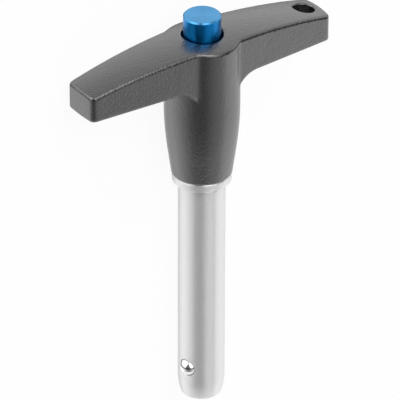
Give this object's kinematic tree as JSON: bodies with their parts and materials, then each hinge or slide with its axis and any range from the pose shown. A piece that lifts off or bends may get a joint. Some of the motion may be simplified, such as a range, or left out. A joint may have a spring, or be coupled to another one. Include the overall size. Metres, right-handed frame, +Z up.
{
  "type": "ball lock pin",
  "caption": "Quick release ball lock pin with a black T-handle, blue push button, round shoulder and locking balls near the tip.",
  "frame": {"origin": "centre of the shoulder face that seats on the work, on the shank's axis", "axes": "the pin lies on its back as it comes to rest: +X runs roughly along the shank to the tip, +Y roughly along the arm with the lanyard hole, +Z up"},
  "size_m": [0.1108, 0.073, 0.0201],
  "materials": {
    "handle_coat": "die-cast aluminium with a black semi-gloss plastic coat, fine orange peel",
    "stainless": "centreless-ground satin stainless steel",
    "stainless_inner": "turned stainless steel",
    "blue_anodised": "blue anodised, fine turned",
    "spring_steel": "drawn spring wire",
    "ball_steel": "polished hardened stainless ball"
  },
  "bodies": {
    "pin_body": {"t_handle": "handle_coat", "pin_shank": "stainless", "return_spring": "spring_steel"},
    "plunger": {"release_button": "blue_anodised", "spindle": "stainless_inner"},
    "ball_front": {"locking_ball_front": "ball_steel"},
    "ball_rear": {"locking_ball_rear": "ball_steel"}
  },
  "joints": [
    {"name": "button_press", "type": "slide", "parent": "pin_body", "child": "plunger", "axis": [0.9991, 0, -0.0427], "range_m": [0, 0.0045], "stiffness_N_per_m": 1500, "springref_m": -0.006, "deforming": ["return_spring"]},
    {"name": "ball_front_slide", "type": "slide", "parent": "pin_body", "child": "ball_front", "axis": [-0.0059, 0.9905, -0.1375], "range_m": [0, 0.00128]},
    {"name": "ball_rear_slide", "type": "slide", "parent": "pin_body", "child": "ball_rear", "axis": [0.0059, -0.9905, 0.1375], "range_m": [0, 0.00128]}
  ],
  "couplings": [
    {"joint": "ball_front_slide", "follows": "button_press", "ratio": 0.28444},
    {"joint": "ball_rear_slide", "follows": "button_press", "ratio": 0.28444}
  ]
}
